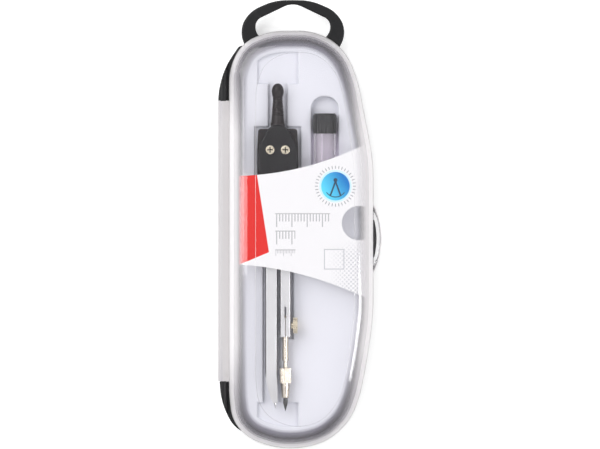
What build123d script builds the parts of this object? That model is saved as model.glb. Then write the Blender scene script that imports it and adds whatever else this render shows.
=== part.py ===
"""Drafting compass set: a bow compass and a tube of spare leads in a hinged pocket case.

The case lies flat on the XY plane. Y runs along the case towards its hanging loop, X runs
across it from the hinge to the thumb tab, and Z is up. All sizes are in millimetres.
"""
from build123d import *
from math import cos, pi, radians, sin, tan
import os

# ---- case: driving dimensions -------------------------------------------------------
case_length = 178.3      # lid outline along Y
case_width = 61.7        # lid outline along X, without the thumb tab
case_height = 20.0
part_line = 10.0         # height of the parting plane, which the hinge axis lies in
case_x = 0.65            # centre of the lid outline
case_y = -6.6
lid_wall = 1.6
base_wall = 1.6
lid_shoulder = 8.0       # radius between the lid's skirt and its top
base_round = 3.5         # radius round the bottom of the base
plateau_height = 0.3     # raised field on top of the lid
plateau_round = 0.27
plateau_shift = 3.3      # the field stands off-centre, away from the hinge
lip_wall = 1.4
lip_height = 2.5         # how far the base's lip stands up inside the lid
lip_root = 4.0           # depth over which the lip joins the wall
lid_fit = 0.25           # gap between the lip and the skirt

# ---- hinge --------------------------------------------------------------------------
barrel_radius = 2.2
hinge_gap = 0.3          # between barrel and walls, all round
barrel_length = 119.6
barrel_y = -7.3          # middle of the barrel
pin_radius = 1.15
pin_fit = 0.05           # running clearance of every pin and shaft
pin_length = 5.0
wing_floor = 2.0         # height of the underside of the hinge wings

# ---- thumb tab and catch ---------------------------------------------------------------
tab_reach = 3.4          # how far the tab stands out past the skirt
tab_length = 30.0
tab_y = -6.2
tab_height = 3.6
tab_round = 1.3
catch_gap = 0.5
catch_wall = 2.4
catch_length = 16.0

# ---- hanging loop --------------------------------------------------------------------
loop_x = -2.95
loop_reach = 13.2        # past the end of the case
loop_thick = 3.4
loop_round = 0.7
loop_z = 5.0             # underside
loop_end = 1.9           # width of the end bar
socket_depth = 2.4
socket_fit = 0.08

# ---- tray ---------------------------------------------------------------------------
tray_wall = 1.2
tray_top = 8.0
tray_fit = 0.3
tray_round = 4.0         # radius round the tray's top edge
rim_round = 0.75         # radius round the rims of its seat and pocket
well_half = 8.6          # half width of the shallow wells past both ends of the compass
well_margin = 1.6        # from the end of the tray's flat top to the wells
seat_margin = 0.9        # how much wider than the compass its seat is
seat_clearance = 0.15

# ---- label card ------------------------------------------------------------------------
card_thick = 0.35
card_gap = 0.1
card_left = -25.6
card_right = 28.2
card_top = (20.5, 23.5, 34.2)         # height of its upper edge: left, at mid_x and right
card_bottom = (-17.2, -20.9, -31.6)   # the same for its lower edge
card_mid = -1.5
card_side = 1.4          # extra room between the card and the lid on the tab's side
notch_radius = 7.3
notch_x = 25.2
notch_y = 0.4

# ---- compass ---------------------------------------------------------------------------
compass_x = -9.4
axis_z = 11.6
pivot_y = 31.6
gear_module = 0.5
gear_teeth = 13
gear_backlash = 0.26
hinge_thick = 4.4        # of the geared blocks between the yoke plates
plate_gap = 0.1
plate_thick = 2.9
head_top = 42.2
head_bottom = 18.6
head_half = 8.9
head_rise = 10.0         # from the head's widest part to its top
neck_half = 3.4
screw_radius = 1.2
screw_head_radius = 1.9
screw_head_height = 0.9
screw_sink = 0.6
nut_across = 4.2
nut_height = 1.5

block_top = 40.6
block_outer = 8.8        # half width over both geared blocks
block_foot = 2.6         # how far the blocks narrow to meet the legs
block_relief = 1.6       # half gap between the blocks at their top
leg_top = 17.0
leg_thick = 6.4
tongue_width = 3.0
tongue_length = 9.0
left_leg_inner = -0.1    # from the compass axis
left_leg_width = 5.2
right_leg_inner = 0.94
right_leg_width = 4.7
left_leg_end = -76.4
left_leg_taper = 15.0
left_leg_tip = 3.2       # thickness at its end
right_leg_end = -48.1
leg_edge = 0.7           # rounding along the legs' edges

grip_end = 60.0
grip_radius = 2.95
grip_waist = 2.2
grip_knob = 2.6
grip_flat = 0.3          # radius of the flat at its very tip
grip_rings = 8
ring_depth = 0.22

needle_radius = 0.5
needle_wall = 0.45       # metal left beside the needle
needle_tip = -79.0
needle_hold = 8.0

# ---- pencil-lead side ---------------------------------------------------------------------
holder_radius = 1.32
holder_hold = 9.0        # length of shaft inside the leg
holder_shoulder = -58.3
neck_radius = 0.85
collar_top = -61.5
collar_bottom = -67.8
collar_radius = 2.42
collet_radius = 1.5
nose_radius = 1.8
nose_tip_radius = 1.5
nose_end = -74.1
lead_radius = 0.95
lead_tip = -80.0
lead_top = -64.0
lead_cone = 3.4
slit_width = 0.3
slit_relief_width = 0.8
slit_relief_length = 5.1
slit_top = -35.2
thumb_y = -43.3
thumb_radius = 3.4
thumb_thick = 1.9
thumb_hub_radius = 1.5
thumb_hub_length = 0.9
thumb_shank_radius = 0.8
knurl_count = 24
knurl_depth = 0.18

# ---- tube of spare leads --------------------------------------------------------------------
tube_x = 10.7
tube_rise = 1.7          # of its axis over the tray's top
tube_bottom = 0.0
tube_mouth = 38.6        # shoulder that the cap stands on
tube_radius = 4.85
tube_bore = 4.0
tube_floor = 1.4
tube_neck_wall = 0.55
tube_neck_length = 5.0
cap_step = 0.2           # how far the cap stands out past the tube
cap_length = 8.6
cap_bevel = 0.7
cap_ribs = 20
cap_rib_depth = 0.25
pocket_gap = 0.6
finger_room = 7.2
spare_length = 24.0
spare_radius = 0.9

# ---- worked out from the driving dimensions ------------------------------------------------
hinge_x = case_x - case_width / 2 - hinge_gap - barrel_radius
front_x = case_x + case_width / 2
hinge_edge = case_x - case_width / 2
case_end = case_y + case_length / 2
pivot_half = gear_module * gear_teeth / 2
yoke_inner = hinge_thick / 2 + plate_gap
yoke_outer = yoke_inner + plate_thick
seat_floor = axis_z - yoke_outer - seat_clearance
lip_outer = lid_wall + lid_fit
lip_inner = lip_outer + lip_wall
lid_top = case_height - plateau_height
ceiling = lid_top - lid_wall
tube_z = tray_top + tube_rise
cap_radius = tube_radius + cap_step
pocket_floor = tube_z - cap_radius - seat_clearance
shaft_x = compass_x + right_leg_inner + right_leg_width / 2
needle_x = compass_x + left_leg_inner - needle_radius - needle_wall
barrel_top = barrel_y + barrel_length / 2
barrel_bottom = barrel_y - barrel_length / 2

# Corner points of the lid outline, as shares of its half width and half length.
case_shape = [
    (-1.0, 0.816), (-0.822, 0.942), (-0.43, 1.0), (0.138, 1.0), (0.446, 0.953),
    (0.656, 0.875), (0.793, 0.754), (0.896, 0.564), (1.0, 0.379), (1.0, -0.373),
    (0.912, -0.580), (0.818, -0.749), (0.676, -0.869), (0.384, -0.963), (0.04, -1.0),
    (-0.348, -1.0), (-0.737, -0.952), (-0.951, -0.869), (-1.0, -0.754),
]


def tangent_outline(points, inset=0.0, share=0.48):
    """Corner points and fillet radii of a closed clockwise outline, moved in by inset.

    Each fillet is the largest that its two runs allow, and it keeps its centre when it moves.
    """
    moved = []
    radii = []
    for i, point in enumerate(points):
        before = Vector(*point) - Vector(*points[i - 1])
        after = Vector(*points[(i + 1) % len(points)]) - Vector(*point)
        turn = radians(before.get_angle(after))
        convex = before.cross(after).Z < 0
        radius = share * min(before.length, after.length) / tan(turn / 2)
        inward = (before.normalized() + after.normalized()).rotate(Axis.Z, -90).normalized()
        moved.append(Vector(*point) + inward * (inset / cos(turn / 2)))
        radii.append(radius - inset if convex else radius + inset)
    return moved, radii


def smooth_face(points, inset=0.0, share=0.48):
    """Face inside a closed clockwise run of tangent arcs, moved in by inset."""
    corners, radii = tangent_outline(points, inset, share)
    with BuildSketch(mode=Mode.PRIVATE) as face:
        with BuildLine():
            FilletPolyline(*corners, radius=radii, close=True)
        make_face()
    return face.sketch


def case_face(inset=0.0):
    """The lid outline, moved in by inset."""
    points = [
        (case_x + x * case_width / 2, case_y + y * case_length / 2) for x, y in case_shape
    ]
    return smooth_face(points, inset)


def plateau_face():
    """Outline of the raised field on the lid: smaller, and off-centre."""
    half_width = case_width / 2 - lid_shoulder - plateau_shift / 2
    half_length = case_length / 2 - lid_shoulder - 1.5
    points = [
        (case_x + plateau_shift / 2 + x * half_width, case_y + y * half_length)
        for x, y in case_shape
    ]
    return smooth_face(points)


def wing_face():
    """Outline of the base where it reaches out under the hinge."""
    edge = hinge_x - barrel_radius
    top = case_y + case_length / 2
    bottom = case_y - case_length / 2
    points = [
        (edge + 14.0, bottom + 5.0), (edge + 6.2, bottom + 9.5), (edge + 1.4, bottom + 20.0),
        (edge, bottom + 36.0), (edge, top - 26.0), (edge + 3.2, top - 15.0),
        (edge + 9.6, top - 5.6), (edge + 14.0, top - 8.0),
    ]
    return smooth_face(points, share=0.45)


def tab_circle(inset=0.0):
    """Radius and centre of the arc that bounds the thumb tab."""
    radius = (tab_length**2 / 4 + tab_reach**2) / (2 * tab_reach)
    return radius - inset, (front_x + tab_reach - radius, tab_y)


def tab_face(inset=0.0):
    """The part of the tab's disc that stands out of the case."""
    radius, centre = tab_circle(inset)
    with BuildSketch(mode=Mode.PRIVATE) as face:
        with Locations(centre):
            Circle(radius)
        with Locations((front_x + tab_reach, tab_y)):
            Rectangle(4 * tab_reach, tab_length * 1.2, mode=Mode.INTERSECT)
    return face.sketch


def loop_face(grow=0.0):
    """The hanging loop with its peaked hole, seen from above."""
    rim = [(-19.0, -9.0), (-22.2, -2.6), (-21.6, 3.6), (-17.4, 8.9), (-7.6, loop_reach)]
    eye = [(-12.2, -5.2), (-16.2, 0.2), (-15.6, 4.8), (-2.0, loop_reach - loop_end)]
    with BuildSketch(mode=Mode.PRIVATE) as face:
        for half, inset, mode in ((rim, -grow, Mode.ADD), (eye, grow, Mode.SUBTRACT)):
            ring = half + [(-x, y) for x, y in reversed(half)]
            points = [(loop_x + x, case_end + y) for x, y in ring]
            add(smooth_face(points, inset), mode=mode)
    return face.sketch


def knurled_face(radius, count, depth):
    """Circle with shallow round grooves."""
    with BuildSketch(mode=Mode.PRIVATE) as face:
        Circle(radius)
        with PolarLocations(radius + depth, count):
            Circle(2 * depth, mode=Mode.SUBTRACT)
    return face.sketch


def head_face(inset=0.0):
    """Outline of the yoke plates."""
    points = [
        (compass_x + neck_half, head_top), (compass_x + head_half, head_top - head_rise),
        (compass_x + head_half - 1.0, head_bottom), (compass_x - head_half + 1.0, head_bottom),
        (compass_x - head_half, head_top - head_rise), (compass_x - neck_half, head_top),
    ]
    return smooth_face(points, inset, share=0.45)


def leg_face(side, grow=0.0):
    """Rectangle over one leg, from its top end to its foot. side is -1 left, 1 right."""
    inner = left_leg_inner if side < 0 else right_leg_inner
    width = left_leg_width if side < 0 else right_leg_width
    end = left_leg_end if side < 0 else right_leg_end
    with BuildSketch(mode=Mode.PRIVATE) as face:
        with Locations((compass_x + inner + side * width / 2, (leg_top + end) / 2)):
            Rectangle(width + 2 * grow, leg_top - end + 2 * grow)
    return face.sketch


def write(part, name):
    """Label a finished piece and write its file."""
    part.label = name
    export_step(part, f"parts/{name}.step")


os.makedirs("parts", exist_ok=True)

# ---- case base: tub, lip, hinge wings with their stub pins, catch, loop sockets ------------
with BuildPart() as wings:
    with BuildSketch(Plane.XZ.offset(-case_y)):
        with Locations((hinge_x, part_line)):
            Circle(barrel_radius)
        with Locations((hinge_x - barrel_radius, wing_floor)):
            Rectangle(
                case_width / 2, part_line - wing_floor, align=(Align.MIN, Align.MIN)
            )
    extrude(amount=case_length / 2, both=True)
    with BuildSketch(Plane.XY):
        add(wing_face())
        with Locations((hinge_x, barrel_y)):
            Rectangle(
                case_width, barrel_length + 2 * hinge_gap, mode=Mode.SUBTRACT
            )
    extrude(amount=case_height, mode=Mode.INTERSECT)

with BuildPart() as case_base:
    with BuildSketch():
        add(case_face())
    extrude(amount=part_line)
    fillet(case_base.faces().sort_by(Axis.Z)[0].edges(), radius=base_round)
    add(wings.part)
    with BuildSketch(Plane.XY.offset(base_wall)):
        add(case_face(base_wall))
    extrude(amount=part_line - base_wall, mode=Mode.SUBTRACT)
    with BuildSketch(Plane.XY.offset(part_line - lip_root)):
        add(case_face(base_wall - 0.1))
        add(case_face(lip_inner), mode=Mode.SUBTRACT)
    extrude(amount=lip_root)
    with BuildSketch(Plane.XY.offset(part_line)):
        add(case_face(lip_outer))
        add(case_face(lip_inner), mode=Mode.SUBTRACT)
    extrude(amount=lip_height)
    with BuildSketch(Plane.XY.offset(part_line - lip_root)):
        add(tab_face(lid_wall + catch_gap))
        add(tab_face(lid_wall + catch_gap + catch_wall), mode=Mode.SUBTRACT)
        add(case_face(lip_inner), mode=Mode.SUBTRACT)
        with Locations((front_x, tab_y)):
            Rectangle(4 * tab_reach, catch_length, mode=Mode.INTERSECT)
    extrude(amount=lip_root + tab_height - lid_wall - catch_gap)
    with BuildSketch(Plane.XZ.offset(-barrel_top - hinge_gap)):
        with Locations((hinge_x, part_line)):
            Circle(pin_radius)
    extrude(amount=pin_length)
    with BuildSketch(Plane.XZ.offset(-barrel_bottom + hinge_gap)):
        with Locations((hinge_x, part_line)):
            Circle(pin_radius)
    extrude(amount=-pin_length)
    with BuildSketch(Plane.XY.offset(loop_z - socket_fit)):
        add(loop_face(socket_fit))
        add(case_face(socket_depth + socket_fit), mode=Mode.SUBTRACT)
    extrude(amount=loop_thick + 2 * socket_fit, mode=Mode.SUBTRACT)
write(case_base.part, "case_base")

# ---- hanging loop, its two feet in the base's sockets ------------------------------------------
with BuildPart() as hang_loop:
    with BuildSketch(Plane.XY.offset(loop_z)):
        add(loop_face())
    extrude(amount=loop_thick)
    flat = hang_loop.faces().filter_by(Axis.Z)
    fillet(flat.edges(), radius=loop_round)
    with BuildSketch(Plane.XY.offset(loop_z)):
        add(case_face(socket_depth))
    extrude(amount=loop_thick, mode=Mode.SUBTRACT)
write(hang_loop.part, "hang_loop")

# ---- lid: shell, thumb tab, hinge barrel --------------------------------------------------------
with BuildPart() as lid:
    with BuildSketch(Plane.XY.offset(part_line)):
        add(case_face())
    extrude(amount=lid_top - part_line)
    fillet(lid.faces().sort_by(Axis.Z)[-1].edges(), radius=lid_shoulder)
    with BuildSketch(Plane.XY.offset(lid_top - lid_wall / 2)):
        add(plateau_face())
    extrude(amount=plateau_height + lid_wall / 2)
    fillet(lid.faces().sort_by(Axis.Z)[-1].edges(), radius=plateau_round)
    with BuildPart(mode=Mode.PRIVATE) as tab:
        with BuildSketch(Plane.XY.offset(part_line)):
            add(tab_face())
        extrude(amount=tab_height)
        brim = tab.faces().sort_by(Axis.Z)[-1].edges().filter_by(GeomType.CIRCLE)
        fillet(brim, radius=tab_round)
    add(tab.part)
    with BuildSketch(Plane.XZ.offset(-barrel_top)):
        with Locations((hinge_x, part_line)):
            Circle(barrel_radius)
        with Locations((hinge_x, part_line)):
            Rectangle(
                hinge_edge - hinge_x + lid_wall / 2, barrel_radius,
                align=(Align.MIN, Align.MIN),
            )
    extrude(amount=barrel_length)
    with BuildPart(mode=Mode.PRIVATE) as hollow:
        with BuildSketch(Plane.XY.offset(part_line)):
            add(case_face(lid_wall))
        extrude(amount=ceiling - part_line)
        fillet(hollow.faces().sort_by(Axis.Z)[-1].edges(), radius=lid_shoulder - lid_wall)
    add(hollow.part, mode=Mode.SUBTRACT)
    with BuildSketch(Plane.XY.offset(part_line)):
        add(tab_face(lid_wall))
    extrude(amount=tab_height - lid_wall, mode=Mode.SUBTRACT)
    with BuildSketch(Plane.XZ.offset(-barrel_top)):
        with Locations((hinge_x, part_line)):
            Circle(pin_radius + pin_fit)
    extrude(amount=pin_length, mode=Mode.SUBTRACT)
    with BuildSketch(Plane.XZ.offset(-barrel_bottom)):
        with Locations((hinge_x, part_line)):
            Circle(pin_radius + pin_fit)
    extrude(amount=-pin_length, mode=Mode.SUBTRACT)
write(lid.part, "lid")

# ---- label card, bent down along the lid's shoulders ----------------------------------------
bend = lid_shoulder - lid_wall - card_gap
side_gap = lid_wall + card_gap + card_side


def card_section(inset):
    """Section across the inside of the lid, moved in by inset."""
    with BuildSketch(Plane.XZ, mode=Mode.PRIVATE) as section:
        with BuildLine():
            FilletPolyline(
                (hinge_edge + lid_wall + card_gap + inset, part_line),
                (hinge_edge + lid_wall + card_gap + inset, ceiling - card_gap - inset),
                (front_x - side_gap - inset, ceiling - card_gap - inset),
                (front_x - side_gap - inset, part_line),
                radius=[0, bend - inset, bend - inset, 0], close=True,
            )
        make_face()
    return section.sketch


with BuildPart() as label_card:
    with BuildSketch(Plane.XZ):
        add(card_section(0.0))
        add(card_section(card_thick), mode=Mode.SUBTRACT)
    extrude(amount=case_length / 2, both=True)
    with BuildSketch(Plane.XY.offset(part_line)):
        with BuildLine():
            upper = ThreePointArc(*zip((card_left, card_mid, card_right), card_top))
            lower = ThreePointArc(*zip((card_left, card_mid, card_right), card_bottom))
            Line(upper @ 0, lower @ 0)
            Line(upper @ 1, lower @ 1)
        make_face()
        add(case_face(lip_inner + card_gap), mode=Mode.INTERSECT)
        with Locations((notch_x, notch_y)):
            Circle(notch_radius, mode=Mode.SUBTRACT)
    extrude(amount=case_height, mode=Mode.INTERSECT)
write(label_card.part, "label_card")

# ---- compass head: two yoke plates, screws, nuts, grip ----------------------------------------
pivots = [(compass_x - pivot_half, pivot_y), (compass_x + pivot_half, pivot_y)]

with BuildPart() as yoke_front:
    with BuildSketch(Plane.XY.offset(axis_z + yoke_inner)):
        add(head_face())
        with Locations(pivots):
            Circle(screw_radius + pin_fit, mode=Mode.SUBTRACT)
    extrude(amount=plate_thick)
    fillet(yoke_front.faces().sort_by(Axis.Z)[-1].outer_wire().edges(), radius=0.8)
    with BuildSketch(Plane.XY.offset(axis_z + yoke_outer - screw_sink)):
        with Locations(pivots):
            Circle(screw_head_radius + 2 * pin_fit)
    extrude(amount=screw_sink, mode=Mode.SUBTRACT)
write(yoke_front.part, "yoke_front")

with BuildPart() as yoke_rear:
    with BuildSketch(Plane.XY.offset(axis_z - yoke_inner)):
        add(head_face())
        with Locations(pivots):
            Circle(screw_radius + pin_fit, mode=Mode.SUBTRACT)
    extrude(amount=-plate_thick)
    fillet(yoke_rear.faces().sort_by(Axis.Z)[0].outer_wire().edges(), radius=0.8)
    with BuildSketch(Plane.XY.offset(axis_z - yoke_outer)):
        with Locations(pivots):
            RegularPolygon(nut_across / 2 + pin_fit, 6, major_radius=False)
    extrude(amount=nut_height, mode=Mode.SUBTRACT)
write(yoke_rear.part, "yoke_rear")

for side_name, pivot in zip(("left", "right"), pivots):
    with BuildPart() as pivot_screw:
        with BuildSketch(Plane.XY.offset(axis_z + yoke_outer - screw_sink)):
            with Locations(pivot):
                Circle(screw_head_radius)
        extrude(amount=screw_head_height)
        fillet(pivot_screw.faces().sort_by(Axis.Z)[-1].edges(), radius=0.3)
        with BuildSketch(Plane.XY.offset(axis_z + yoke_outer - screw_sink)):
            with Locations(pivot):
                Circle(screw_radius)
        extrude(amount=-(2 * yoke_outer - screw_sink))
        with BuildSketch(Plane.XY.offset(axis_z + yoke_outer - screw_sink + screw_head_height)):
            with Locations(pivot):
                Rectangle(0.45, 2 * screw_radius)
                Rectangle(2 * screw_radius, 0.45)
        extrude(amount=-0.5 * screw_head_height, mode=Mode.SUBTRACT)
    write(pivot_screw.part, f"pivot_screw_{side_name}")
    with BuildPart() as pivot_nut:
        with BuildSketch(Plane.XY.offset(axis_z - yoke_outer)):
            with Locations(pivot):
                RegularPolygon(nut_across / 2, 6, major_radius=False)
                Circle(screw_radius, mode=Mode.SUBTRACT)
        extrude(amount=nut_height - pin_fit)
    write(pivot_nut.part, f"pivot_nut_{side_name}")

grip_length = grip_end - head_top
with BuildPart() as grip:
    with BuildSketch(Plane.XY.offset(axis_z)):
        with BuildLine():
            foot = Line((compass_x, head_top), (compass_x + grip_radius, head_top))
            flare = Line(foot @ 1, (compass_x + grip_radius - 0.2, head_top + 2.6))
            waist = Spline(
                flare @ 1, (compass_x + grip_waist + 0.2, head_top + 0.45 * grip_length),
                (compass_x + grip_waist, grip_end - 6.0),
                (compass_x + grip_knob, grip_end - 3.0),
                (compass_x + grip_flat, grip_end), tangents=[(-0.05, 1), (-1, 0)],
            )
            Polyline(waist @ 1, (compass_x, grip_end), foot @ 0)
        make_face()
        with Locations([waist @ (0.08 + 0.07 * i) for i in range(grip_rings)]):
            Circle(ring_depth, mode=Mode.SUBTRACT)
    revolve(axis=Axis((compass_x, head_top, axis_z), (0, 1, 0)))
    with BuildSketch(Plane.XY.offset(axis_z - hinge_thick / 2)):
        with Locations((compass_x, head_top)):
            Rectangle(2 * neck_half - 0.8, 2 * (head_top - block_top - 0.7))
    extrude(amount=hinge_thick)
write(grip.part, "grip")


# ---- geared hinge blocks -------------------------------------------------------------------
def geared_block(side):
    """One geared block. side is -1 for the needle leg's block, 1 for the lead leg's."""
    pivot_x = compass_x + side * pivot_half
    pitch = pivot_half
    root = pitch - 1.25 * gear_module
    tip = pitch + 0.85 * gear_module
    step = 2 * pi / gear_teeth
    phase = 0.0 if side < 0 else step / 2
    towards = 0.0 if side < 0 else pi
    inner = left_leg_inner if side < 0 else right_leg_inner
    with BuildPart() as block:
        with BuildSketch(Plane.XY.offset(axis_z - hinge_thick / 2)):
            with Locations((pivot_x, pivot_y)):
                Circle(root)
            with BuildLine():
                Polyline(
                    (pivot_x, block_top), (compass_x + side * block_relief, block_top),
                    (compass_x + side * block_relief, pivot_y + pitch + 1.0),
                    (pivot_x, pivot_y + root), (pivot_x, block_top),
                )
            make_face()
            with BuildLine():
                FilletPolyline(
                    (pivot_x, block_top), (compass_x + side * (block_outer - 0.5), block_top),
                    (compass_x + side * block_outer, pivot_y),
                    (compass_x + side * block_outer, leg_top + 4.0),
                    (compass_x + side * (block_outer - block_foot), leg_top),
                    (compass_x + inner + side * leg_edge, leg_top),
                    (compass_x + inner + side * leg_edge, pivot_y - pitch - 1.6),
                    (pivot_x, pivot_y - root),
                    radius=[0, 1.2, 6.0, 2.0, 0.4, 0.4, 0.4, 0], close=True,
                )
            make_face()
            for i in range(-2, 3):
                angle = towards + phase + i * step
                along = Vector(cos(angle), sin(angle))
                across = Vector(-sin(angle), cos(angle))
                centre = Vector(pivot_x, pivot_y)
                half = pi * gear_module / 4 - gear_backlash / 2
                with BuildLine():
                    Polyline(
                        centre + along * (root - 0.3) + across * (half + 0.3),
                        centre + along * tip + across * (half - 0.18),
                        centre + along * tip - across * (half - 0.18),
                        centre + along * (root - 0.3) - across * (half + 0.3),
                        centre + along * (root - 0.3) + across * (half + 0.3),
                    )
                make_face()
            with Locations((pivot_x, pivot_y)):
                Circle(screw_radius + pin_fit, mode=Mode.SUBTRACT)
        extrude(amount=hinge_thick)
        leg_mid = compass_x + inner + side * (left_leg_width if side < 0 else right_leg_width) / 2
        with BuildSketch(Plane.XY.offset(axis_z - tongue_width / 2)):
            with Locations((leg_mid, leg_top + 1.0)):
                Rectangle(tongue_width, tongue_length + 1.0, align=(Align.CENTER, Align.MAX))
        extrude(amount=tongue_width)
    return block.part


write(geared_block(-1), "needle_block")
write(geared_block(1), "lead_block")

# ---- legs -------------------------------------------------------------------------------------
def leg_blank(side):
    """Rounded bar of one leg, with the socket for its hinge block's tongue."""
    inner = left_leg_inner if side < 0 else right_leg_inner
    width = left_leg_width if side < 0 else right_leg_width
    with BuildPart() as blank:
        with BuildSketch(Plane.XY.offset(axis_z - leg_thick / 2)):
            add(leg_face(side))
        extrude(amount=leg_thick)
        fillet(blank.edges().filter_by(Axis.Y), radius=leg_edge)
        with BuildSketch(Plane.XZ.offset(-leg_top)):
            with Locations((compass_x + inner + side * width / 2, axis_z)):
                Rectangle(tongue_width + 2 * pin_fit, tongue_width + 2 * pin_fit)
        extrude(amount=tongue_length + pin_fit, mode=Mode.SUBTRACT)
    return blank.part


left_outer = compass_x + left_leg_inner - left_leg_width
foot_start = left_leg_end + left_leg_taper
foot_edge = needle_x - needle_radius - needle_wall
with BuildPart() as needle_leg:
    add(leg_blank(-1))
    with BuildSketch(Plane.XY.offset(axis_z)):
        with BuildLine():
            heel = TangentArc(
                (left_outer, foot_start), (foot_edge, left_leg_end), tangent=(0, -1)
            )
            Polyline(
                heel @ 1, (left_outer - 1.0, left_leg_end), (left_outer - 1.0, foot_start),
                heel @ 0,
            )
        make_face()
    extrude(amount=leg_thick, both=True, mode=Mode.SUBTRACT)
    for face in (1, -1):
        with BuildSketch(Plane.YZ.offset(left_outer - 1.0)):
            with BuildLine():
                slope = TangentArc(
                    (foot_start, axis_z + face * leg_thick / 2),
                    (left_leg_end, axis_z + face * left_leg_tip / 2), tangent=(-1, 0),
                )
                Polyline(
                    slope @ 1, (left_leg_end, axis_z + face * leg_thick),
                    (foot_start, axis_z + face * leg_thick), slope @ 0,
                )
            make_face()
        extrude(amount=left_leg_width + 2.0, mode=Mode.SUBTRACT)
    with BuildSketch(Plane.XZ.offset(-left_leg_end)):
        with Locations((needle_x, axis_z)):
            Circle(needle_radius + pin_fit)
    extrude(amount=-needle_hold, mode=Mode.SUBTRACT)
write(needle_leg.part, "needle_leg")

with BuildPart() as needle_point:
    with BuildSketch(Plane.XZ.offset(-left_leg_end - needle_hold + pin_fit)):
        with Locations((needle_x, axis_z)):
            Circle(needle_radius)
    extrude(amount=needle_hold + 0.6)
    with BuildSketch(Plane.XY.offset(axis_z)):
        with BuildLine():
            Polyline(
                (needle_x, left_leg_end - 0.4), (needle_x + needle_radius, left_leg_end - 0.4),
                (needle_x + 0.7 * needle_radius, needle_tip + 1.6), (needle_x, needle_tip),
                close=True,
            )
        make_face()
    revolve(axis=Axis((needle_x, needle_tip, axis_z), (0, 1, 0)))
write(needle_point.part, "needle_point")

right_outer = compass_x + right_leg_inner + right_leg_width
with BuildPart() as lead_leg:
    add(leg_blank(1))
    with BuildSketch(Plane.XZ.offset(-right_leg_end)):
        with Locations((shaft_x, axis_z)):
            Circle(holder_radius + pin_fit)
    extrude(amount=-(holder_hold + 1.0), mode=Mode.SUBTRACT)
    with BuildSketch(Plane.XY.offset(axis_z)):
        with Locations((shaft_x, (slit_top + right_leg_end) / 2)):
            Rectangle(slit_width, slit_top - right_leg_end)
        with Locations((shaft_x, slit_top - slit_relief_length / 2)):
            SlotOverall(slit_relief_length, slit_relief_width, rotation=90)
    extrude(amount=leg_thick, both=True, mode=Mode.SUBTRACT)
    with BuildSketch(Plane.YZ.offset(right_outer)):
        with Locations((thumb_y, axis_z)):
            Circle(thumb_shank_radius + pin_fit)
    extrude(amount=-(right_outer - shaft_x), mode=Mode.SUBTRACT)
write(lead_leg.part, "lead_leg")

with BuildPart() as thumb_screw:
    with BuildSketch(Plane.YZ.offset(right_outer + pin_fit)):
        with Locations((thumb_y, axis_z)):
            Circle(thumb_hub_radius)
    extrude(amount=thumb_hub_length)
    with BuildSketch(Plane.YZ.offset(right_outer + thumb_hub_length)):
        with Locations((thumb_y, axis_z)):
            add(knurled_face(thumb_radius, knurl_count, knurl_depth))
    extrude(amount=thumb_thick)
    with BuildSketch(Plane.YZ.offset(right_outer + pin_fit)):
        with Locations((thumb_y, axis_z)):
            Circle(thumb_shank_radius)
    extrude(amount=-(right_outer - shaft_x - holder_radius))
write(thumb_screw.part, "thumb_screw")

# ---- pencil-lead holder ----------------------------------------------------------------------
with BuildPart() as lead_holder:
    with BuildSketch(Plane.XY.offset(axis_z)):
        with BuildLine():
            Polyline(
                (shaft_x, right_leg_end + holder_hold),
                (shaft_x + holder_radius, right_leg_end + holder_hold),
                (shaft_x + holder_radius, holder_shoulder),
                (shaft_x + neck_radius, holder_shoulder),
                (shaft_x + neck_radius, collar_top + 0.4),
                (shaft_x + collet_radius, collar_top - 0.2),
                (shaft_x + collet_radius, collar_bottom),
                (shaft_x + nose_radius, collar_bottom - pin_fit),
                (shaft_x + nose_radius, collar_bottom - 2.0),
                (shaft_x + nose_tip_radius, nose_end), (shaft_x, nose_end), close=True,
            )
        make_face()
        with BuildLine():
            Polyline(
                (shaft_x, lead_top + pin_fit), (shaft_x + lead_radius + pin_fit, lead_top + pin_fit),
                (shaft_x + lead_radius + pin_fit, nose_end - 0.1), (shaft_x, nose_end - 0.1),
                close=True,
            )
        make_face(mode=Mode.SUBTRACT)
    revolve(axis=Axis((shaft_x, 0, axis_z), (0, 1, 0)))
write(lead_holder.part, "lead_holder")

with BuildPart() as collet_nut:
    with BuildSketch(Plane.XZ.offset(-collar_top)):
        with Locations((shaft_x, axis_z)):
            add(knurled_face(collar_radius, knurl_count, knurl_depth))
            Circle(collet_radius + pin_fit, mode=Mode.SUBTRACT)
    extrude(amount=collar_top - collar_bottom)
write(collet_nut.part, "collet_nut")

with BuildPart() as lead_stick:
    with BuildSketch(Plane.XY.offset(axis_z)):
        with BuildLine():
            Polyline(
                (shaft_x, lead_top), (shaft_x + lead_radius, lead_top),
                (shaft_x + lead_radius, lead_tip + lead_cone), (shaft_x, lead_tip), close=True,
            )
        make_face()
    revolve(axis=Axis((shaft_x, lead_top, axis_z), (0, 1, 0)))
write(lead_stick.part, "lead_stick")

# ---- tube of spare leads ---------------------------------------------------------------------
with BuildPart() as lead_tube:
    with BuildSketch(Plane.XZ.offset(-tube_bottom)):
        with Locations((tube_x, tube_z)):
            Circle(tube_radius)
    extrude(amount=-(tube_mouth - tube_bottom))
    fillet(lead_tube.faces().sort_by(Axis.Y)[0].edges(), radius=1.2)
    with BuildSketch(Plane.XZ.offset(-tube_mouth)):
        with Locations((tube_x, tube_z)):
            Circle(tube_bore + tube_neck_wall)
    extrude(amount=-tube_neck_length)
    with BuildSketch(Plane.XZ.offset(-tube_bottom - tube_floor)):
        with Locations((tube_x, tube_z)):
            Circle(tube_bore)
    extrude(amount=-(tube_mouth + tube_neck_length), mode=Mode.SUBTRACT)
write(lead_tube.part, "lead_tube")

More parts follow.
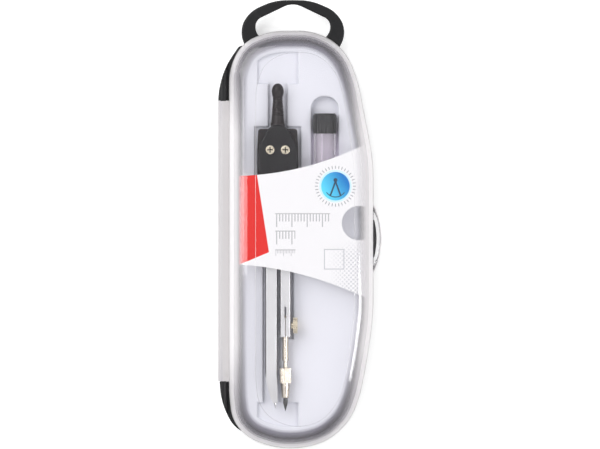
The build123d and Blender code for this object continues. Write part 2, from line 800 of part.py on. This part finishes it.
with BuildPart() as tube_cap:
    with BuildSketch(Plane.XZ.offset(-tube_mouth)):
        with Locations((tube_x, tube_z)):
            add(knurled_face(cap_radius, cap_ribs, cap_rib_depth))
    extrude(amount=-(cap_length - cap_bevel))
    with BuildSketch(Plane.XZ.offset(-tube_mouth - cap_length + cap_bevel)):
        with Locations((tube_x, tube_z)):
            Circle(cap_radius - cap_rib_depth)
    extrude(amount=-cap_bevel, taper=25)
    with BuildSketch(Plane.XZ.offset(-tube_mouth)):
        with Locations((tube_x, tube_z)):
            Circle(tube_bore + tube_neck_wall + pin_fit)
    extrude(amount=-(tube_neck_length + seat_clearance), mode=Mode.SUBTRACT)
write(tube_cap.part, "tube_cap")

spare_reach = tube_bore - spare_radius - pin_fit
spare_half = spare_radius + pin_fit
spare_drop = (spare_reach**2 - spare_half**2) ** 0.5
for number, side in ((1, -1), (2, 1)):
    with BuildPart() as spare_lead:
        with BuildSketch(Plane.XZ.offset(-tube_bottom - tube_floor - 1.0)):
            with Locations((tube_x + side * spare_half, tube_z - spare_drop)):
                Circle(spare_radius)
        extrude(amount=-spare_length)
    write(spare_lead.part, f"spare_lead_{number}")


# ---- tray: thin moulding with a seat for the compass and a pocket for the tube ----------------
def seat_face(grow=0.0):
    """The compass's seat: its plates, grip and legs, with a margin all round."""
    margin = seat_margin + grow
    with BuildSketch(mode=Mode.PRIVATE) as face:
        add(head_face(-margin))
        with Locations((compass_x, (head_top + grip_end) / 2)):
            Rectangle(2 * grip_radius + 2 * margin, grip_end - head_top + 2 * margin)
        block_half = block_outer + margin
        with Locations((compass_x, block_top + margin)):
            Rectangle(
                2 * block_half, block_top - leg_top + 2 * margin,
                align=(Align.CENTER, Align.MAX),
            )
        add(leg_face(-1, margin))
        add(leg_face(1, margin))
    return face.sketch


def pocket_face(grow=0.0):
    """The tube's pocket, with a rounded finger recess past its cap."""
    half = cap_radius + pocket_gap + grow
    top = tube_mouth + cap_length + finger_room + grow
    bottom = tube_bottom - pocket_gap - grow
    with BuildSketch(mode=Mode.PRIVATE) as face:
        with BuildLine():
            FilletPolyline(
                (tube_x - half, bottom), (tube_x - half, top), (tube_x + half, top),
                (tube_x + half, bottom),
                radius=[1.0, 0.9 * half, 0.9 * half, 1.0], close=True,
            )
        make_face()
    return face.sketch


def well_face(grow=0.0):
    """Shallow wells past both ends of the compass, inside the tray's flat top."""
    half = well_half + grow
    with BuildSketch(mode=Mode.PRIVATE) as face:
        with Locations((compass_x, case_y)):
            Rectangle(2 * half, case_length)
        with Locations((compass_x, (grip_end + left_leg_end) / 2)):
            Rectangle(2 * half + 1.0, grip_end - left_leg_end - 2 * grow, mode=Mode.SUBTRACT)
        add(case_face(tray_edge + tray_round + well_margin - grow), mode=Mode.INTERSECT)
    return face.sketch


tray_edge = lip_inner + tray_fit
with BuildPart() as tray_hollow:
    with BuildSketch(Plane.XY.offset(base_wall)):
        add(case_face(tray_edge + tray_wall))
    extrude(amount=tray_top - tray_wall - base_wall)
    fillet(tray_hollow.faces().sort_by(Axis.Z)[-1].edges(), radius=tray_round - tray_wall)

with BuildPart() as tray:
    with BuildSketch(Plane.XY.offset(base_wall)):
        add(case_face(tray_edge))
    extrude(amount=tray_top - base_wall)
    fillet(tray.faces().sort_by(Axis.Z)[-1].edges(), radius=tray_round)
    add(tray_hollow.part, mode=Mode.SUBTRACT)
    with BuildSketch(Plane.XY.offset(seat_floor - tray_wall)):
        add(seat_face(tray_wall))
        add(case_face(tray_edge + tray_round), mode=Mode.INTERSECT)
    extrude(amount=tray_top - seat_floor + tray_wall)
    with BuildSketch(Plane.XY.offset(seat_floor - tray_wall)):
        add(well_face(tray_wall))
    extrude(amount=tray_top - seat_floor + tray_wall)
    with BuildSketch(Plane.XY.offset(pocket_floor - tray_wall)):
        add(pocket_face(tray_wall))
    extrude(amount=tray_top - pocket_floor + tray_wall)
    with BuildSketch(Plane.XY.offset(seat_floor)):
        add(seat_face())
        add(well_face())
    extrude(amount=tray_top - seat_floor, mode=Mode.SUBTRACT)
    with BuildSketch(Plane.XY.offset(pocket_floor)):
        add(pocket_face())
    extrude(amount=tray_top - pocket_floor, mode=Mode.SUBTRACT)
    top = tray.faces().filter_by(Axis.Z).group_by(Axis.Z)[-1]
    fillet([edge for face in top for wire in face.inner_wires() for edge in wire.edges()], rim_round)
write(tray.part, "tray")
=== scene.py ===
"""Drafting compass set: finish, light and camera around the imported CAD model. Metres throughout."""
import math
import bpy
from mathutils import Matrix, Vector


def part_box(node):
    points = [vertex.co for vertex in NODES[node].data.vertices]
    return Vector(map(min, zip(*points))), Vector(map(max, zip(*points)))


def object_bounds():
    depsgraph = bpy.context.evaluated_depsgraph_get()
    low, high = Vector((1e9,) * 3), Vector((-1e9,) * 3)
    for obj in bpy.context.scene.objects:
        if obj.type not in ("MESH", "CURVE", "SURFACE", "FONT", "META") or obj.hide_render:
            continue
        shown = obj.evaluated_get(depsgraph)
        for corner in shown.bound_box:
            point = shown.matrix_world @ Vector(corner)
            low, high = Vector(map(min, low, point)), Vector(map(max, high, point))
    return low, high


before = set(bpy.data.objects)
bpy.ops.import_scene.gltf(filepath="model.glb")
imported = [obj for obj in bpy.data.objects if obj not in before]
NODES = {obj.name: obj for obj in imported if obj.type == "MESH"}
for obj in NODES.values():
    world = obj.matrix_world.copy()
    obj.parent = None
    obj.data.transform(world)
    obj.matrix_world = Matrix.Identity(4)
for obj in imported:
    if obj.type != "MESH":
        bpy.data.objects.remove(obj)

cad_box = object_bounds()
MM = 0.001
BARREL_WIDTH = 4.7 * MM  # how far the frosted hinge barrel reaches in from the case's left side
VIEW_WIDTH = 0.2563  # width of the view at the object
CAMERA_HEIGHT = 2.61
LENS_TO_OBJECT = 2.6


# ---- node-building helpers ---------------------------------------------------------------------
class Shader:
    """A material under construction: short ways to add nodes and link them."""

    def __init__(self, name):
        self.material = bpy.data.materials.new(name)
        self.material.use_nodes = True
        self.tree = self.material.node_tree
        self.tree.nodes.clear()
        self.out = self.tree.nodes.new("ShaderNodeOutputMaterial")
        self.place = self.tree.nodes.new("ShaderNodeTexCoord")

    def node(self, kind, settings=None, **sockets):
        """Add a node. i0=, i1= ... set sockets by number; other names are socket names."""
        made = self.tree.nodes.new(kind)
        for key, value in (settings or {}).items():
            setattr(made, key, value)
        for key, value in sockets.items():
            by_number = key[0] == "i" and key[1:].isdigit()
            socket = made.inputs[int(key[1:]) if by_number else key.replace("_", " ")]
            if isinstance(value, bpy.types.NodeSocket):
                self.tree.links.new(value, socket)
            else:
                socket.default_value = value
        return made

    def calc(self, operation, first, second=0.0, clamp=False):
        settings = {"operation": operation, "use_clamp": clamp}
        return self.node("ShaderNodeMath", settings, i0=first, i1=second).outputs[0]

    def axis(self, index, source="Object"):
        """One axis of the object-space position or normal: 0 is x, 1 is y, 2 is z."""
        split = self.node("ShaderNodeSeparateXYZ", i0=self.place.outputs[source])
        return split.outputs[index]

    def mix(self, factor, low, high):
        """Blend two colours."""
        made = self.tree.nodes.new("ShaderNodeMix")
        made.data_type = "RGBA"
        for index, value in ((0, factor), (6, low), (7, high)):
            if isinstance(value, bpy.types.NodeSocket):
                self.tree.links.new(value, made.inputs[index])
            else:
                made.inputs[index].default_value = value
        return made.outputs[2]

    def spread(self, value, low, high, from_low=0.0, from_high=1.0):
        """Map from_low..from_high to low..high, clamped."""
        made = self.node(
            "ShaderNodeMapRange", {"clamp": True},
            i0=value, i1=from_low, i2=from_high, i3=low, i4=high,
        )
        return made.outputs[0]

    def noise(self, scale, detail=3.0, stretch=(1, 1, 1)):
        place = self.node("ShaderNodeMapping", i0=self.place.outputs["Object"], i3=stretch)
        made = self.node(
            "ShaderNodeTexNoise", i0=place.outputs[0], Scale=scale, Detail=detail, Roughness=0.55
        )
        return made.outputs[0]

    def bump(self, height, distance, onto=None):
        sockets = {"Height": height, "Distance": distance, "Strength": 1.0}
        if onto is not None:
            sockets["Normal"] = onto
        return self.node("ShaderNodeBump", **sockets).outputs[0]

    def principled(self, **sockets):
        return self.node("ShaderNodeBsdfPrincipled", **sockets).outputs[0]

    def blend(self, factor, first, second):
        """Mix two shaders."""
        return self.node("ShaderNodeMixShader", i0=factor, i1=first, i2=second).outputs[0]

    def lamps_through(self, surface, unseen):
        """The surface as seen, and unseen in its place for lamps and soft light."""
        paths = self.node("ShaderNodeLightPath")
        soft = self.blend(paths.outputs["Is Diffuse Ray"], surface, unseen)
        return self.blend(paths.outputs["Is Shadow Ray"], soft, unseen)

    def finish(self, surface):
        self.tree.links.new(surface, self.out.inputs[0])
        return self.material


def grey(value):
    return (value, value, value, 1.0)


def scaled(colour, factor):
    return tuple(c * factor for c in colour[:3]) + (1.0,)


# ---- materials ---------------------------------------------------------------------------------
def moulded_plastic(name, colour, rough, grain=2600.0):
    """Opaque moulded plastic: fine texture, uneven gloss and paler worn edges."""
    m = Shader(name)
    cloud = m.noise(90.0, 4.0)
    fine = m.noise(grain, 2.0)
    edge = m.node("ShaderNodeNewGeometry").outputs["Pointiness"]
    worn = m.spread(edge, 0.0, 0.25, 0.505, 0.56)
    pale = tuple(min(1.0, c * 1.6 + 0.03) for c in colour[:3]) + (1.0,)
    base = m.mix(m.calc("MULTIPLY", worn, m.noise(700.0, 3.0)), colour, pale)
    shader = m.principled(
        Base_Color=base, Roughness=m.spread(cloud, rough - 0.05, rough + 0.08, 0.3, 0.7),
        Specular_IOR_Level=0.32, Normal=m.bump(fine, 0.012 * MM),
    )
    return m.finish(shader)


def lid_plastic(name):
    """Clear styrene: shoulders whitened along the sides and rim, partly frost and partly painted
    reflection of the bright room; painted shade on the shoulders at the ends; frosted barrel.
    """
    m = Shader(name)
    wave = m.noise(30.0, 2.0)
    hair = m.noise(900.0, 2.0, stretch=(1.0, 0.05, 1.0))
    up = m.calc("ABSOLUTE", m.axis(2, "Normal"))
    steep = m.calc("SUBTRACT", 1.0, up, clamp=True)

    barrel_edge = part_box("case_base")[0][0] + BARREL_WIDTH
    barrel = m.spread(m.axis(0), 1.0, 0.0, barrel_edge - 0.1 * MM, barrel_edge + 0.3 * MM)
    low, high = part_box("lid")
    from_mid = m.calc("ABSOLUTE", m.calc("SUBTRACT", m.axis(1), (low[1] + high[1]) / 2))
    ends = m.spread(from_mid, 0.2, 1.0, 45.0 * MM, 80.0 * MM)

    # whitening of the side shoulders and steep rim: partly frosted plastic, partly painted reflection
    # of the bright room
    flank_frost_and_painted_glare = m.calc(
        "MULTIPLY", m.spread(up, 0.0, 1.0, 0.1, 0.35), m.spread(up, 1.0, 0.0, 0.8, 0.97)
    )
    flank_frost_and_painted_glare = m.calc("MULTIPLY", flank_frost_and_painted_glare, m.calc("SUBTRACT", 1.2, ends))
    frost_and_painted_glare = m.calc("MULTIPLY", m.calc("MULTIPLY", steep, 0.5), m.spread(up, 0.3, 1.0, 0.05, 0.4))
    frost_and_painted_glare = m.calc("ADD", frost_and_painted_glare, m.calc("MULTIPLY", flank_frost_and_painted_glare, 0.5))
    frost_and_painted_glare = m.calc("MAXIMUM", frost_and_painted_glare, m.calc("MULTIPLY", barrel, 0.8))
    clear = m.calc("SUBTRACT", 1.0, frost_and_painted_glare, clamp=True)

    # painted shade: the shoulders at the two ends darken, standing in for the shade on the tray's
    # edge seen through the lid
    painted_end_shade = m.calc(
        "MULTIPLY", m.spread(up, 0.0, 1.0, 0.35, 0.8), m.spread(up, 1.0, 0.0, 0.985, 0.9998)
    )
    painted_end_shade = m.calc("MULTIPLY", m.calc("MULTIPLY", painted_end_shade, ends), 0.85)

    haze = m.calc("ADD", m.calc("MULTIPLY", steep, 0.8), m.calc("MULTIPLY", barrel, 0.2))
    gloss = m.calc("ADD", m.spread(hair, 0.01, 0.03, 0.55, 0.75), haze, clamp=True)
    tint = (0.975, 0.97, 0.98, 1.0)
    # base colour whitened where the frost and the painted reflection lie
    body = m.mix(m.spread(frost_and_painted_glare, 0.0, 1.0, 0.0, 0.3), tint, (0.80, 0.78, 0.79, 1.0))
    body = m.mix(barrel, body, (0.60, 0.58, 0.585, 1.0))
    shader = m.principled(
        Base_Color=m.mix(painted_end_shade, body, (0.40, 0.38, 0.43, 1.0)), Roughness=gloss, IOR=1.49,
        Transmission_Weight=clear,
        Normal=m.bump(wave, 0.008 * MM, onto=m.bump(hair, 0.00015 * MM)),
    )
    window = m.node("ShaderNodeBsdfTransparent", Color=tint).outputs[0]
    return m.finish(m.lamps_through(shader, window))


def tube_plastic(name):
    """Clear moulded tube, slightly smoky."""
    m = Shader(name)
    wave = m.noise(120.0, 2.0, stretch=(1, 0.2, 1))
    tint = (0.87, 0.84, 0.88, 1.0)
    shader = m.principled(
        Base_Color=tint, Roughness=m.spread(wave, 0.05, 0.12, 0.3, 0.7), IOR=1.45,
        Transmission_Weight=0.82, Normal=m.bump(wave, 0.02 * MM),
    )
    window = m.node("ShaderNodeBsdfTransparent", Color=tint).outputs[0]
    return m.finish(m.lamps_through(shader, window))


def plated_metal(name, colour, rough, stretch):
    """Plated metal: brushed along one axis, smudged, with painted shade where it turns to the sides.
    """
    m = Shader(name)
    brush = m.noise(1500.0, 4.0, stretch=stretch)
    smudge = m.noise(120.0, 3.0)
    base = m.mix(m.spread(smudge, 0.0, 0.6, 0.45, 0.75), colour, scaled(colour, 0.9))
    # painted shade: the colour darkens to 15% where the surface turns to the sides
    edge = m.spread(m.calc("ABSOLUTE", m.axis(0, "Normal")), 0.0, 0.85, 0.86, 0.99)
    shader = m.principled(
        Base_Color=m.mix(edge, base, scaled(colour, 0.15)), Metallic=1.0,
        Roughness=m.spread(smudge, rough - 0.05, rough + 0.1, 0.3, 0.75),
        Normal=m.bump(brush, 0.0015 * MM),
    )
    return m.finish(shader)


def screw_metal(name):
    """Warm nickel plate, with painted shade down in the cross recess of the screw heads."""
    m = Shader(name)
    height = m.axis(2)
    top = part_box("pivot_screw_left")[1][2]
    # painted shade: a near-black band just below the head's top, down in the cross recess
    down = m.spread(height, 1.0, 0.0, top - 0.42 * MM, top - 0.3 * MM)
    above = m.spread(height, 0.0, 1.0, top - 0.55 * MM, top - 0.5 * MM)
    recess = m.calc("MULTIPLY", down, above)
    smudge = m.noise(300.0, 3.0)
    plate = m.mix(smudge, (0.74, 0.65, 0.48, 1), (0.90, 0.83, 0.68, 1))
    shader = m.principled(
        Base_Color=m.mix(recess, plate, (0.05, 0.04, 0.03, 1)), Metallic=0.85,
        Roughness=m.spread(smudge, 0.2, 0.34, 0.3, 0.7), Normal=m.bump(m.noise(2500.0), 0.004 * MM),
    )
    return m.finish(shader)


def leg_metal(name):
    """Satin zinc bar: bright brushed faces, sides darkened with painted shade."""
    m = Shader(name)
    brush = m.noise(1600.0, 4.0, stretch=(1, 0.04, 1))
    smudge = m.noise(90.0, 3.0)
    turned = m.calc("ABSOLUTE", m.axis(0, "Normal"))
    # painted shade: the sides of the bar turn near black, standing in for the dark gaps beside the
    # legs
    edge = m.calc(
        "MULTIPLY", m.spread(turned, 0.0, 1.0, 0.4, 0.6), m.spread(turned, 1.0, 0.35, 0.93, 0.99)
    )
    face = m.mix(smudge, (0.68, 0.68, 0.69, 1), (0.76, 0.76, 0.765, 1))
    shader = m.principled(
        Base_Color=m.mix(edge, face, (0.03, 0.03, 0.035, 1)), Metallic=0.5,
        Roughness=m.spread(brush, 0.33, 0.45, 0.3, 0.7), Normal=m.bump(brush, 0.0015 * MM),
    )
    return m.finish(shader)


def graphite(name):
    """Dull drawn lead with fine streaks along it."""
    m = Shader(name)
    streak = m.noise(2500.0, 3.0, stretch=(1, 0.2, 1))
    base = m.mix(streak, grey(0.035), grey(0.12))
    shader = m.principled(
        Base_Color=base, Metallic=0.3, Roughness=0.42, Normal=m.bump(streak, 0.01 * MM)
    )
    return m.finish(shader)


def tray_plastic(name):
    """Thin satin moulding, lilac-white."""
    m = Shader(name)
    fine = m.noise(1800.0, 2.0)
    wave = m.noise(28.0, 2.0)
    base = m.mix(wave, (0.77, 0.78, 0.83, 1.0), (0.81, 0.82, 0.87, 1.0))
    shader = m.principled(
        Base_Color=base, Roughness=m.spread(wave, 0.36, 0.5, 0.35, 0.65),
        Normal=m.bump(fine, 0.004 * MM, onto=m.bump(wave, 0.15 * MM)),
    )
    return m.finish(shader)


def printed_card(name):
    """White card, printed, thin enough to let some light through to what lies under it."""
    m = Shader(name)
    x = m.calc("MULTIPLY", m.axis(0), 1000.0)  # from here on in mm
    y = m.calc("MULTIPLY", m.axis(1), 1000.0)
    soft = 0.06

    def half_plane(ax, ay, bx, by):
        """1 to the left of the line from a to b."""
        length = math.hypot(bx - ax, by - ay)
        nx, ny = -(by - ay) / length, (bx - ax) / length
        side = m.calc("ADD", m.calc("MULTIPLY", x, nx), m.calc("MULTIPLY", y, ny))
        return m.spread(m.calc("SUBTRACT", side, nx * ax + ny * ay), 0.0, 1.0, -soft, soft)

    def both(*masks):
        total = masks[0]
        for mask in masks[1:]:
            total = m.calc("MULTIPLY", total, mask)
        return total

    def disc(cx, cy, radius):
        dx = m.calc("SUBTRACT", x, cx)
        dy = m.calc("SUBTRACT", y, cy)
        far = m.calc("SQRT", m.calc("ADD", m.calc("MULTIPLY", dx, dx), m.calc("MULTIPLY", dy, dy)))
        return m.spread(far, 1.0, 0.0, radius - soft, radius + soft), far, dx, dy

    def bar(value, low, high):
        return both(
            m.spread(value, 0.0, 1.0, low - soft, low + soft),
            m.spread(value, 1.0, 0.0, high - soft, high + soft),
        )

    fibre = m.noise(1400.0, 4.0)
    colour = m.mix(m.spread(fibre, 0.0, 1.0, 0.3, 0.7), grey(0.84), grey(0.88))

    # red panel at the hinge side
    red = both(half_plane(-13.1, -12.0, -18.2, 20.9), half_plane(-25.5, -17.2, -13.1, -12.0))
    colour = m.mix(red, colour, (0.72, 0.009, 0.004, 1))

    # blue roundel in a ring of tick marks, lit from its upper left
    centre = (15.2, 16.1)
    blue, far, dx, dy = disc(*centre, 6.1)
    lit = m.calc("ADD", m.calc("MULTIPLY", dx, 0.8), m.calc("MULTIPLY", dy, 0.5))
    shade = m.mix(m.spread(lit, 0.0, 1.0, -5.0, 4.5), (0.10, 0.68, 0.92, 1), (0.0, 0.19, 0.55, 1))
    ring = bar(far, 7.4, 8.7)
    angle = m.calc("ARCTAN2", dy, dx)
    tick = m.calc("COSINE", m.calc("MULTIPLY", angle, 36.0))
    ticks = both(ring, m.spread(tick, 0.0, 1.0, 0.55, 0.8))
    colour = m.mix(ticks, colour, (0.35, 0.36, 0.38, 1))
    halo = bar(far, 6.1, 6.9)
    colour = m.mix(halo, colour, (0.62, 0.86, 0.93, 1))
    colour = m.mix(blue, colour, shade)

    # compass sign on the roundel: two legs, an arc and a round head
    lean = m.calc("ABSOLUTE", dx)
    slope = m.calc("ADD", m.calc("MULTIPLY", lean, 0.94), m.calc("MULTIPLY", dy, 0.34))
    legs = both(bar(slope, 0.35, 1.05), bar(dy, -4.0, 2.2))
    arc = both(bar(far, 4.4, 4.8), bar(dy, -5.0, -2.6))
    head = disc(centre[0], centre[1] + 2.6, 0.85)[0]
    sign = m.calc("MAXIMUM", m.calc("MAXIMUM", legs, head), arc)
    colour = m.mix(sign, colour, (0.02, 0.05, 0.09, 1))

    # three plain rulers, every fifth mark longer
    for top, drop, left, right, pitch in (
        (4.5, 3.4, -10.5, 12.9, 1.3), (-2.9, 3.4, -10.5, -1.9, 1.3), (-10.9, 1.6, -10.5, -1.8, 0.65)
    ):
        beat = m.calc("FRACT", m.calc("DIVIDE", m.calc("SUBTRACT", x, left - 26.0), pitch))
        mark = both(m.spread(beat, 0.0, 1.0, 0.30, 0.36), m.spread(beat, 1.0, 0.0, 0.66, 0.72))
        count = m.calc("FRACT", m.calc("DIVIDE", m.calc("SUBTRACT", x, left - 26.0), pitch * 5))
        tall = m.spread(count, 1.0, 0.0, 0.195, 0.205)
        depth = m.calc("MULTIPLY", m.calc("ADD", m.calc("MULTIPLY", tall, 0.7), 1.0), drop)
        below = m.calc("SUBTRACT", top, y)
        reach = both(
            m.spread(below, 0.0, 1.0, -soft, soft),
            m.spread(m.calc("SUBTRACT", depth, below), 0.0, 1.0, -soft, soft),
        )
        field = both(mark, reach, bar(x, left, right))
        rule = both(bar(below, -0.1, 0.3), bar(x, left, right))
        colour = m.mix(m.calc("MAXIMUM", field, rule), colour, (0.47, 0.47, 0.48, 1))

    # outlined square
    outer = both(bar(x, 10.3, 19.0), bar(y, -19.4, -10.6))
    inner = both(bar(x, 10.75, 18.55), bar(y, -18.95, -11.05))
    outline = m.calc("SUBTRACT", outer, inner, clamp=True)
    colour = m.mix(outline, colour, (0.55, 0.56, 0.58, 1))

    # dots on a slanted grid, fading in towards the lower right
    across = m.calc("MULTIPLY", m.calc("ADD", x, y), 0.55)
    down = m.calc("MULTIPLY", m.calc("SUBTRACT", x, y), 0.55)
    dot = m.node("ShaderNodeCombineXYZ", i0=m.calc("FRACT", m.calc("ADD", across, 50.0)),
                 i1=m.calc("FRACT", m.calc("ADD", down, 50.0)), i2=0.0).outputs[0]
    near = m.node("ShaderNodeVectorMath", {"operation": "DISTANCE"}, i0=dot, i1=(0.5, 0.5, 0.0))
    dots = both(m.spread(near.outputs["Value"], 1.0, 0.0, 0.28, 0.36),
                m.spread(x, 0.0, 1.0, 12.0, 22.0), m.spread(y, 0.0, 1.0, -6.0, -14.0))
    colour = m.mix(dots, colour, (0.60, 0.61, 0.63, 1))

    # the back is bare board
    outward = m.axis(2, "Normal")
    back = m.mix(fibre, (0.70, 0.69, 0.67, 1), (0.78, 0.77, 0.75, 1))
    colour = m.mix(m.spread(outward, 0.0, 1.0, -0.1, 0.1), back, colour)

    shader = m.principled(
        Base_Color=colour, Roughness=m.spread(fibre, 0.38, 0.5, 0.3, 0.7),
        Specular_IOR_Level=0.35, Normal=m.bump(fibre, 0.006 * MM),
    )
    window = m.node("ShaderNodeBsdfTransparent", Color=grey(1.0)).outputs[0]
    return m.finish(m.lamps_through(shader, m.blend(0.55, shader, window)))


case_black = moulded_plastic("case_black", (0.006, 0.006, 0.007, 1), 0.42)
yoke_black = moulded_plastic("yoke_black", (0.010, 0.009, 0.011, 1), 0.34, grain=3500.0)
grip_black = moulded_plastic("grip_black", (0.014, 0.010, 0.011, 1), 0.34, grain=3500.0)
cap_black = moulded_plastic("cap_black", (0.03, 0.03, 0.032, 1), 0.4)
lid_clear = lid_plastic("lid_clear")
tube_clear = tube_plastic("tube_clear")
tray_lilac = tray_plastic("tray_lilac")
card_print = printed_card("card_print")
leg_silver = leg_metal("leg_silver")
champagne = plated_metal("holder_champagne", (0.80, 0.735, 0.63, 1), 0.24, stretch=(0.05, 1, 0.05))
screw_nickel = screw_metal("screw_nickel")
steel = plated_metal("needle_steel", (0.82, 0.82, 0.83, 1), 0.16, stretch=(1, 0.05, 1))
lead_grey = graphite("graphite")

FINISH = {
    "case_base": case_black, "hang_loop": case_black, "lid": lid_clear, "label_card": card_print,
    "tray": tray_lilac, "yoke_front": yoke_black, "yoke_rear": yoke_black, "grip": grip_black,
    "pivot_screw_left": screw_nickel, "pivot_screw_right": screw_nickel,
    "pivot_nut_left": screw_nickel, "pivot_nut_right": screw_nickel,
    "needle_block": grip_black, "lead_block": grip_black, "needle_leg": leg_silver,
    "lead_leg": leg_silver, "needle_point": steel, "thumb_screw": screw_nickel,
    "lead_holder": champagne, "collet_nut": champagne, "lead_stick": lead_grey,
    "lead_tube": tube_clear, "tube_cap": cap_black, "spare_lead_1": lead_grey,
    "spare_lead_2": lead_grey,
}
for name, material in FINISH.items():
    for slot in NODES[name].material_slots:
        slot.material = material


# ---- floor, light and camera -------------------------------------------------------------------
def floor():
    """Plain white floor, just under the case."""
    mesh = bpy.data.meshes.new("floor")
    half = 3.0
    mesh.from_pydata(
        [(-half, -half, 0), (half, -half, 0), (half, half, 0), (-half, half, 0)], [], [(0, 1, 2, 3)]
    )
    made = bpy.data.objects.new("floor", mesh)
    made.location.z = cad_box[0][2] - 0.0002
    bpy.context.scene.collection.objects.link(made)
    m = Shader("floor_white")
    shader = m.principled(
        Base_Color=grey(0.94), Roughness=0.9, Emission_Color=grey(1.0), Emission_Strength=0.4
    )
    mesh.materials.append(m.finish(shader))


def area(name, place, target, size, power, size_y=None):
    """Area lamp at place, turned to target, square unless size_y is given."""
    data = bpy.data.lights.new(name, "AREA")
    data.energy = power
    data.size = size
    if size_y:
        data.shape = "RECTANGLE"
        data.size_y = size_y
    made = bpy.data.objects.new(name, data)
    made.location = place
    made.rotation_euler = (Vector(target) - Vector(place)).to_track_quat("-Z", "Y").to_euler()
    bpy.context.scene.collection.objects.link(made)


def studio():
    """A bright room, dim straight overhead, with a key light from the upper left."""
    world = bpy.data.worlds.new("studio")
    bpy.context.scene.world = world
    world.use_nodes = True
    tree = world.node_tree
    back = tree.nodes["Background"]
    place = tree.nodes.new("ShaderNodeTexCoord")
    split = tree.nodes.new("ShaderNodeSeparateXYZ")
    ramp = tree.nodes.new("ShaderNodeMapRange")
    tree.links.new(place.outputs["Generated"], split.inputs[0])
    tree.links.new(split.outputs[2], ramp.inputs[0])
    side_height, top_height, side_light, top_light = 0.75, 0.98, 0.88, 0.34
    for index, value in enumerate((side_height, top_height, side_light, top_light), 1):
        ramp.inputs[index].default_value = value
    tree.links.new(ramp.outputs[0], back.inputs[1])
    back.inputs[0].default_value = (1.0, 1.0, 1.0, 1.0)
    area("key", (-0.55, 0.45, 0.85), (0, 0, 0), 0.8, 6.3)
    area("right_box", (0.46, -0.10, 0.66), (0, -0.02, 0), 0.14, 1.2, 0.24)
    area("left_strip", (-0.5, 0.0, 0.9), (0, 0, 0), 0.06, 0.4, 0.7)


def camera():
    """Straight down from far above, as the photograph was taken."""
    data = bpy.data.cameras.new("camera")
    data.sensor_width = 36.0
    data.lens = data.sensor_width * LENS_TO_OBJECT / VIEW_WIDTH
    data.clip_end = 20.0
    made = bpy.data.objects.new("camera", data)
    made.location = (0.0001, -0.0002, CAMERA_HEIGHT)
    bpy.context.scene.collection.objects.link(made)
    bpy.context.scene.camera = made


floor()
studio()
camera()
bpy.context.scene.view_settings.view_transform = "Standard"
